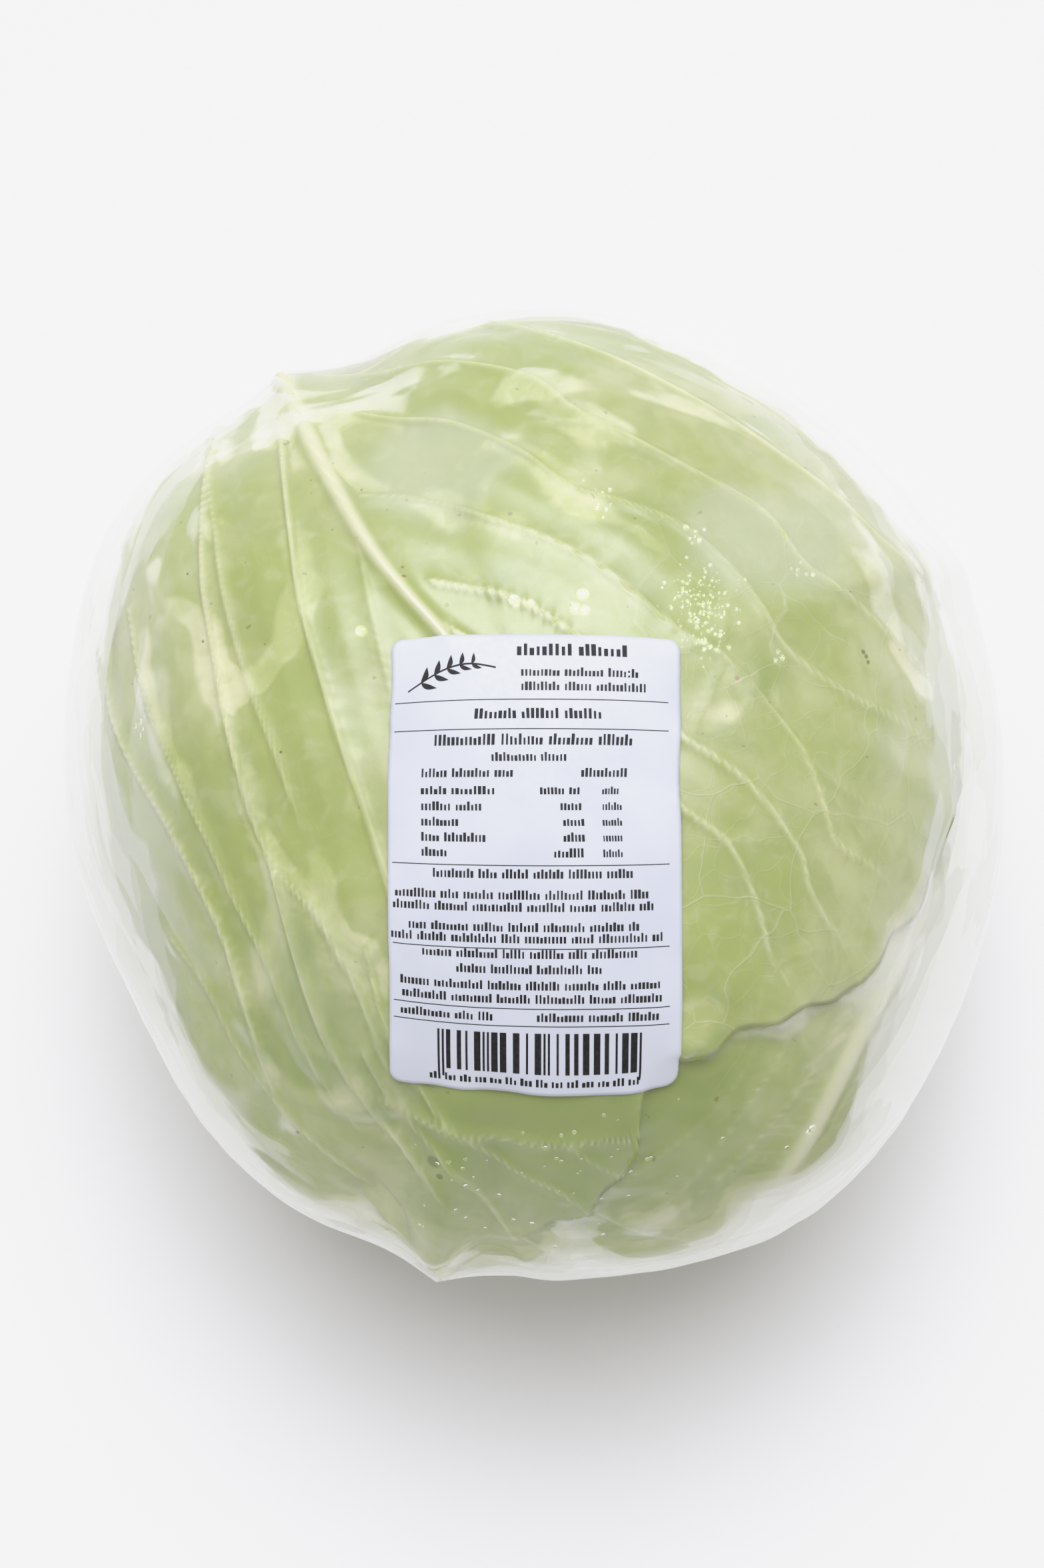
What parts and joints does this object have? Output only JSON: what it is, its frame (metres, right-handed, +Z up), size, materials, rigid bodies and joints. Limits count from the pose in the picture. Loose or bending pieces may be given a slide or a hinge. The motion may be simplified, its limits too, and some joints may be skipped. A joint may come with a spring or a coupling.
{
  "type": "wrapped cabbage head",
  "caption": "Green cabbage head held tight in clear stretch film with a paper label on top, standing on its cut stem",
  "frame": {"origin": "middle of the footprint, on the table under the middle of the film's box", "axes": "+Z up through the top of the head; +X across the label; +Y up the label, away from its lower end"},
  "size_m": [0.1814, 0.1892, 0.1487],
  "materials": {
    "clear_film": "clear gloss stretch film",
    "label_paper": "coated label paper with dark print",
    "stem_flesh": "matt cut flesh",
    "pale_leaf": "smooth pale leaf",
    "green_leaf": "waxy green leaf with cream veins"
  },
  "bodies": {
    "root": {"film_wrap": "clear_film", "label": "label_paper", "cut_stem": "stem_flesh", "heart": "pale_leaf", "outer_leaf_1": "green_leaf", "outer_leaf_2": "green_leaf", "outer_leaf_3": "green_leaf", "outer_leaf_4": "green_leaf", "outer_leaf_5": "green_leaf", "outer_leaf_6": "green_leaf"}
  },
  "joints": []
}
